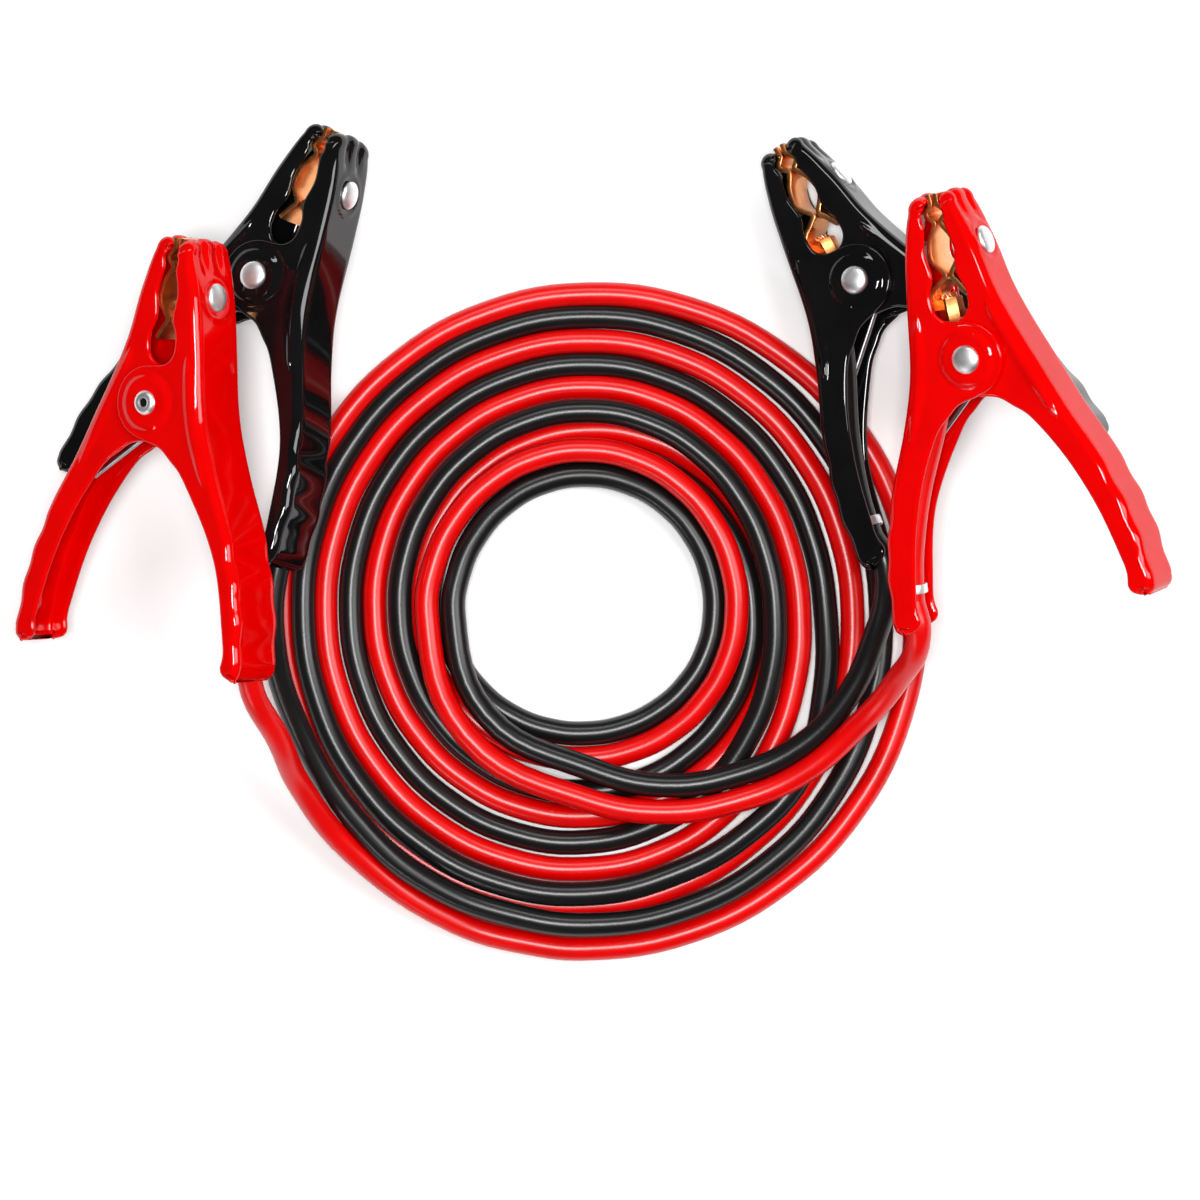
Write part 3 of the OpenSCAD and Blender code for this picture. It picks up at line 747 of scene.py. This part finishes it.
def spring_route():
    """The wire's middle: one leg's foot, the close coil, and the other leg's foot."""
    half = turns * wire_r
    low, high = spring_z - half + wire_r, spring_z + half - wire_r
    start = math.radians(coil_start)
    sweep = math.radians(360 * (turns - 1) + coil_extra)
    coil = [(coil_r * math.cos(start + sweep * t), coil_r * math.sin(start + sweep * t),
             low + (high - low) * t) for t in np.linspace(0, 1, 48 * turns)]
    first = [(-leg_x + (coil[0][0] + leg_x) * t, leg_y + (coil[0][1] - leg_y) * t, low)
             for t in np.linspace(0, 0.97, 20)]
    final = [(coil[-1][0] + (leg_x - coil[-1][0]) * t, coil[-1][1] + (leg_y - coil[-1][1]) * t,
              high) for t in np.linspace(0.03, 1, 20)]
    return first + coil + final


spring_mesh = wire("torsion_spring", spring_route(), wire_r)
spring_steel = metal("spring_steel", (0.42, 0.42, 0.44), 0.3, 300, 0.1)
zinc = metal("zinc_plate", (0.62, 0.64, 0.66), 0.35, 120, 0.05)
spring_mesh.materials.append(spring_steel)

# --- Conductors and clips -------------------------------------------------------------------
# Inside the cable arm the jacket follows the web, held by a bent nickel-plated strap near the
# handle's end. Beside the pivot it is stripped, and the twisted strands go into the barrel.
strand_keys = [(8.3, 25.5), (8.3, 20), (8.3, 14), (13.7, 9.5), (16.2, 6.5)]
jacket_keys = [(16.4, 6), (16.6, 5), (17.8, -4), (25.1, -23.2), (35.8, -47), (43.8, -71.7),
               (47.2, -88.2)]
jacket_drop = 6.9
# Strands from the middle outwards: the ring's radius, how many, and each one's radius.
lay = ((0, 1, 0.62), (1.25, 6, 0.62), (2.55, 12, 0.68))
lay_twist = 3.2
strap_r, strap_foot, strap_t, strap_half_width = 5.05, 4.2, 1.1, 1.8
strap_place = (0.0464, -0.0838, 0.0068)
strap_tilt = 6
strand_line = drawn(strand_keys, 8)
strand_route = np.column_stack([strand_line, np.zeros(len(strand_line))])
strand_way = np.gradient(strand_route, axis=0)
strand_way /= np.linalg.norm(strand_way, axis=1)[:, None]
strand_side = np.stack([-strand_way[:, 1], strand_way[:, 0], 0 * strand_way[:, 0]], 1)
strands = []
for ring_r, count, thick in lay:
    for k in range(count):
        twist = 2 * math.pi * k / count + np.linspace(0, lay_twist, len(strand_route))
        route = (strand_route + ring_r * np.cos(twist)[:, None] * strand_side
                 + ring_r * np.sin(twist)[:, None] * np.array([0, 0, 1.0]))
        strands.append(wire("strand", route, thick, 8))
bundle = mirrored_mesh(joined("strands", strands))
for mesh in strands:
    bpy.data.meshes.remove(mesh)
rounded(bundle, 60)
bundle.materials.append(metal("bare_copper", (0.90, 0.42, 0.2), 0.25, 400, 0.08))
jacket_route = drawn(jacket_keys, 8)
jacket_height = jacket_drop * step_up(-jacket_route[:, 1], 5, 75)
jacket_mesh = mirrored_mesh(wire("jacket_end", np.column_stack([jacket_route, jacket_height]),
                                 cable_d * 500, 32))
strap = np.concatenate([
    [(strap_foot, strap_r), (strap_foot - 2, strap_r)], arc((0, 0), strap_r, 90, 270, 24),
    [(strap_foot - 2, -strap_r), (strap_foot, -strap_r)]])
clip_mesh = strip("clip", strap, strap_t, strap_half_width, 0.3, -1)
clip_mesh.transform(Matrix.Translation(strap_place)
                    @ Matrix.Rotation(math.radians(strap_tilt), 4, "Z")
                    @ Matrix.Rotation(-math.pi / 2, 4, "X"))
mirrored_mesh(clip_mesh)
rounded(clip_mesh, 35)
clip_mesh.materials.append(nickel)

for colour, finish in (("red", red_jacket), ("black", black_jacket)):
    jacket_end = jacket_mesh.copy()
    jacket_end.materials.append(finish)
    for side in ("left", "right"):
        clamp = side + "_" + colour
        seated("cable_plate", cable_plate, clamp, "cable", ("cable_jaw",))
        seated("lever_plate", lever_plate, clamp, "lever", ("lever_jaw",))
        seated("cable_rivet", jaw_rivets["cable"], clamp, "cable", ("cable_jaw_rivet",))
        seated("lever_rivet", jaw_rivets["lever"], clamp, "lever", ("lever_jaw_rivet",))
        seated("pivot", flipped_pivot if clamp == "left_black" else pivot_mesh, clamp, "cable",
               ("pivot_rivet",))
        seated("strap", clip_mesh, clamp, "cable", ("cable_clip",))
        seated("strands", bundle, clamp, "cable", ())
        seated("jacket_end", jacket_end, clamp, "cable", ("conductor",))
        bent = spring_mesh.copy()
        bent.transform(placed(clamp))
        spring = bpy.data.objects.new(clamp + "_spring", bent)
        bpy.context.scene.collection.objects.link(spring)
        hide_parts(clamp + "_torsion_spring")
        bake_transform(spring)
        # The bush is the solid itself, with its own finish.
        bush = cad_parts[clamp + "_spacer_bush"]
        bush.data.materials.clear()
        bush.data.materials.append(zinc)

# --- Table and lights -----------------------------------------------------------------------
# A white table that runs out of sight, and soft lamps: one overhead, one beyond the jaws, one
# on the right and a small low one at the front left.
half_table, table_top = 6, -0.0004
table = bpy.data.meshes.new("table")
table.from_pydata([(x * half_table, y * half_table, table_top)
                   for x, y in ((-1, -1), (1, -1), (1, 1), (-1, 1))], [], [(0, 1, 2, 3)])
floor = bpy.data.objects.new("table", table)
bpy.context.scene.collection.objects.link(floor)
white = bpy.data.materials.new("white_table")
white.use_nodes = True
nodes, links = white.node_tree.nodes, white.node_tree.links
paper = nodes["Principled BSDF"]
paper.inputs["Base Color"].default_value = (0.93, 0.93, 0.93, 1)
paper.inputs["Roughness"].default_value = 0.9
glow = nodes.new("ShaderNodeEmission")
glow.inputs["Strength"].default_value = 0.14
seen = nodes.new("ShaderNodeLightPath")
either = nodes.new("ShaderNodeMath")
either.operation = "MAXIMUM"
links.new(seen.outputs["Is Camera Ray"], either.inputs[0])
links.new(seen.outputs["Is Glossy Ray"], either.inputs[1])
any_of = nodes.new("ShaderNodeMath")
any_of.operation = "MAXIMUM"
links.new(either.outputs["Value"], any_of.inputs[0])
links.new(seen.outputs["Is Transmission Ray"], any_of.inputs[1])
switch = nodes.new("ShaderNodeMixShader")
both = nodes.new("ShaderNodeAddShader")
links.new(paper.outputs["BSDF"], both.inputs[0])
links.new(glow.outputs["Emission"], both.inputs[1])
links.new(any_of.outputs["Value"], switch.inputs["Fac"])
links.new(paper.outputs["BSDF"], switch.inputs[1])
links.new(both.outputs["Shader"], switch.inputs[2])
links.new(switch.outputs["Shader"], nodes["Material Output"].inputs["Surface"])
table.materials.append(white)


def lamp(name, place, aim, width, depth, power):
    """A soft rectangular lamp, in metres and watts."""
    light = bpy.data.lights.new(name, "AREA")
    light.shape = "RECTANGLE"
    light.size, light.size_y = width, depth
    light.energy = power
    fixture = bpy.data.objects.new(name, light)
    fixture.location = place
    fixture.rotation_euler = (Vector(aim) - Vector(place)).to_track_quat("-Z", "Y").to_euler()
    bpy.context.scene.collection.objects.link(fixture)


lamp("lamp_over_jaws", (0.0, 1.5, 1.6), (0, 0, 0), 1.6, 0.3, 15)
lamp("lamp_front", (-0.9, -1.4, 0.7), (0, -0.1, 0), 0.9, 0.06, 4)
lamp("lamp_side", (1.25, 0.1, 1.9), (0, 0, 0), 0.6, 1.5, 26)
lamp("lamp_overhead", (-0.1, -0.1, 2.6), (0, -0.1, 0), 0.5, 0.5, 43)
sky = bpy.data.worlds.new("room")
bpy.context.scene.world = sky
sky.use_nodes = True
sky.node_tree.nodes["Background"].inputs["Color"].default_value = (0.06, 0.06, 0.06, 1)
